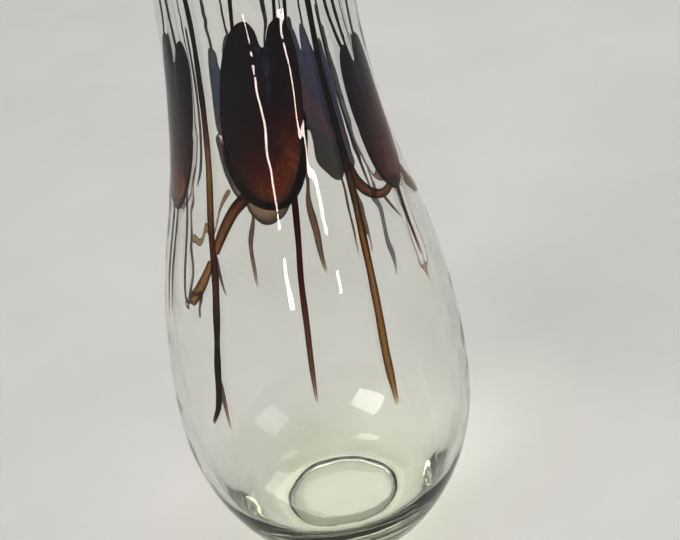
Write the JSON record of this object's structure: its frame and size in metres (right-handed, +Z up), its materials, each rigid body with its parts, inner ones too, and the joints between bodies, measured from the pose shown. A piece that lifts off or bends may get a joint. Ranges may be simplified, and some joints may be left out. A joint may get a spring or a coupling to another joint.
{
  "type": "vase",
  "caption": "Tall blown glass vase with a full belly, a narrow waist and a flared mouth, decorated with dark glass petals and drawn glass threads.",
  "frame": {"origin": "centre of the foot's underside, on the surface the vase stands on", "axes": "+Z up along the vase's axis, -Y towards the front petal, +X to the right seen from the front"},
  "size_m": [0.15, 0.15, 0.355],
  "materials": {
    "clear_glass": "clear, faint grey-green tint, gently rippled, polished",
    "ground_glass": "clear glass with a fine ground face underneath",
    "amethyst_petal_glass": "black at the top, through maroon to amber at the bottom, glossy",
    "lustre_petal_glass": "blue-grey lustre over dark amethyst, brown at the bottom, glossy",
    "dark_loop_glass": "very dark brown, glossy",
    "main_thread_glass": "black above, amber with brown edges below, glossy",
    "dark_thread_glass": "near black, glossy",
    "amber_thread_glass": "amber with brown edges, glossy",
    "amber_garland_glass": "amber with brown edges, glossy",
    "fine_thread_glass": "grey-brown, glossy"
  },
  "bodies": {
    "root": {"blown_bubble": "clear_glass", "pontil_disc": "ground_glass", "front_petal": "amethyst_petal_glass", "right_petal": "amethyst_petal_glass", "rear_right_petal": "lustre_petal_glass", "rear_left_petal": "lustre_petal_glass", "left_petal": "amethyst_petal_glass", "front_petal_loop": "dark_loop_glass", "right_petal_loop": "dark_loop_glass", "rear_right_petal_loop": "dark_loop_glass", "rear_left_petal_loop": "dark_loop_glass", "left_petal_loop": "dark_loop_glass", "main_thread_front_left": "main_thread_glass", "main_thread_front_right": "main_thread_glass", "main_thread_right": "main_thread_glass", "main_thread_rear_right": "main_thread_glass", "main_thread_rear": "main_thread_glass", "main_thread_rear_left": "main_thread_glass", "front_petal_left_thread": "dark_thread_glass", "front_petal_middle_thread": "dark_thread_glass", "front_petal_right_thread": "dark_thread_glass", "right_petal_front_thread": "dark_thread_glass", "right_petal_middle_thread": "dark_thread_glass", "right_petal_rear_thread": "dark_thread_glass", "rear_right_petal_right_thread": "dark_thread_glass", "rear_right_petal_left_thread": "dark_thread_glass", "rear_left_petal_right_thread": "dark_thread_glass", "rear_left_petal_left_thread": "dark_thread_glass", "left_petal_rear_thread": "dark_thread_glass", "left_petal_front_thread": "dark_thread_glass", "front_petal_tail": "amber_thread_glass", "right_petal_tail": "amber_thread_glass", "rear_right_petal_tail": "amber_thread_glass", "rear_left_petal_tail": "amber_thread_glass", "left_petal_tail": "amber_thread_glass", "main_thread_front_left_tail": "amber_thread_glass", "garland_front_left_upper": "amber_garland_glass", "garland_front_left_lower": "amber_garland_glass", "garland_front_right": "amber_garland_glass", "garland_right": "amber_garland_glass", "garland_rear_right": "amber_garland_glass", "garland_rear_left": "amber_garland_glass", "garland_left": "amber_garland_glass", "front_left_return_thread": "fine_thread_glass", "front_left_spur": "fine_thread_glass", "front_left_fine_thread": "fine_thread_glass", "front_right_fine_thread": "fine_thread_glass", "front_right_fine_tail": "fine_thread_glass"}
  },
  "joints": []
}
